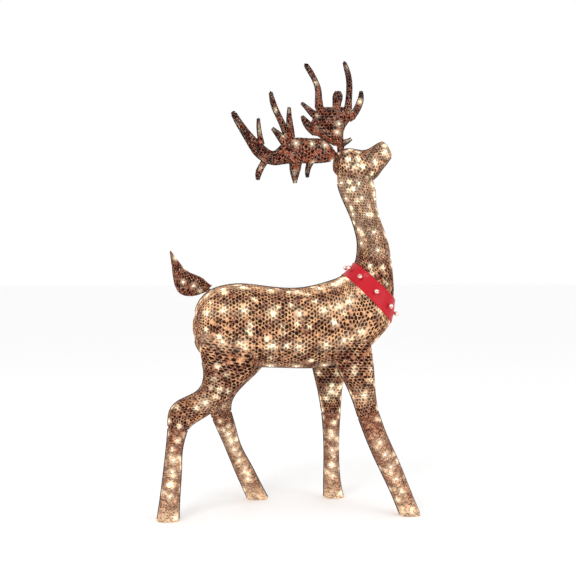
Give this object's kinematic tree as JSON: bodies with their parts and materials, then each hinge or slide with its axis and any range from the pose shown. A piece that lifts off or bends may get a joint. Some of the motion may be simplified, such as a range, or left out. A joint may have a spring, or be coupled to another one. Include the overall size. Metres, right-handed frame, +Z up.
{
  "type": "light up yard reindeer",
  "caption": "Standing light-up reindeer of glitter netting over a wire frame, with plug-in legs, neck, tail and turning antlers, a red ribbon collar and bells.",
  "frame": {"origin": "on the ground, under the middle of the bounding box", "axes": "+X the way the reindeer faces, +Y to its left side, +Z up"},
  "size_m": [0.7273, 0.2924, 1.2997],
  "materials": {
    "glitter_netting": "brown and gold glitter netting",
    "leg_netting": "tan netting, smoother and paler",
    "antler_netting": "dark brown netting with copper glitter",
    "frame_steel": "brown powder coat",
    "light_string": "brown cord and holders",
    "led_lens": "clear moulded lens, lit warm white",
    "red_ribbon": "glossy red glitter ribbon",
    "bell_metal": "polished pale gold",
    "pellet_steel": "plain",
    "plug_plastic": "black"
  },
  "bodies": {
    "body": {"body_hoops": "frame_steel", "body_led_lenses": "led_lens", "body_light_string": "light_string", "body_long_wires": "frame_steel", "body_skin": "glitter_netting", "bulkheads": "frame_steel", "post_sockets": "frame_steel", "power_inlet": "plug_plastic", "power_jacks": "plug_plastic", "tail_socket": "frame_steel", "thigh_rings": "frame_steel", "thigh_wires": "frame_steel"},
    "neck_and_head": {"antler_sockets": "frame_steel", "bell_pellets": "pellet_steel", "collar_band": "red_ribbon", "collar_bells": "bell_metal", "head_hoops": "frame_steel", "head_led_lenses": "led_lens", "head_light_string": "light_string", "head_long_wires": "frame_steel", "head_skin": "glitter_netting", "neck_posts": "frame_steel", "neck_power_plug": "plug_plastic"},
    "near_antler": {"near_antler_core": "frame_steel", "near_antler_led_lenses": "led_lens", "near_antler_light_string": "light_string", "near_antler_skin": "antler_netting"},
    "far_antler": {"far_antler_core": "frame_steel", "far_antler_led_lenses": "led_lens", "far_antler_light_string": "light_string", "far_antler_skin": "antler_netting"},
    "tail": {"tail_led_lenses": "led_lens", "tail_light_string": "light_string", "tail_post": "frame_steel", "tail_skin": "glitter_netting"},
    "near_hind_lower_leg": {"near_hind_foot": "frame_steel", "near_hind_leg_frame": "frame_steel", "near_hind_leg_led_lenses": "led_lens", "near_hind_leg_light_string": "light_string", "near_hind_leg_post": "frame_steel", "near_hind_leg_skin": "leg_netting"},
    "far_hind_lower_leg": {"far_hind_foot": "frame_steel", "far_hind_leg_frame": "frame_steel", "far_hind_leg_led_lenses": "led_lens", "far_hind_leg_light_string": "light_string", "far_hind_leg_post": "frame_steel", "far_hind_leg_skin": "leg_netting"},
    "near_front_lower_leg": {"near_front_foot": "frame_steel", "near_front_leg_frame": "frame_steel", "near_front_leg_led_lenses": "led_lens", "near_front_leg_light_string": "light_string", "near_front_leg_post": "frame_steel", "near_front_leg_skin": "leg_netting"},
    "far_front_lower_leg": {"far_front_foot": "frame_steel", "far_front_leg_frame": "frame_steel", "far_front_leg_led_lenses": "led_lens", "far_front_leg_light_string": "light_string", "far_front_leg_post": "frame_steel", "far_front_leg_skin": "leg_netting"}
  },
  "joints": [
    {"name": "near_hind_leg_pull", "type": "slide", "parent": "body", "child": "near_hind_lower_leg", "axis": [-0.1146, 0, -0.9934], "range_m": [0, 0.06]},
    {"name": "far_hind_leg_pull", "type": "slide", "parent": "body", "child": "far_hind_lower_leg", "axis": [0.3896, 0, -0.921], "range_m": [0, 0.06]},
    {"name": "near_front_leg_pull", "type": "slide", "parent": "body", "child": "near_front_lower_leg", "axis": [0.3834, 0, -0.9236], "range_m": [0, 0.06]},
    {"name": "far_front_leg_pull", "type": "slide", "parent": "body", "child": "far_front_lower_leg", "axis": [-0.037, 0, -0.9993], "range_m": [0, 0.06]},
    {"name": "neck_pull", "type": "slide", "parent": "body", "child": "neck_and_head", "axis": [0.6895, 0, 0.7243], "range_m": [0, 0.1]},
    {"name": "near_antler_turn", "type": "hinge", "parent": "neck_and_head", "child": "near_antler", "pos_m": [0.1455, -0.024, 0.999], "axis": [-0.834, -0.3208, 0.4491], "range_deg": [-20, 20]},
    {"name": "far_antler_turn", "type": "hinge", "parent": "neck_and_head", "child": "far_antler", "pos_m": [0.1585, 0.02, 1.01], "axis": [0.1229, 0.3686, 0.9214], "range_deg": [-20, 20]},
    {"name": "tail_pull", "type": "slide", "parent": "body", "child": "tail", "axis": [-0.8042, 0, 0.5944], "range_m": [0, 0.04]}
  ]
}
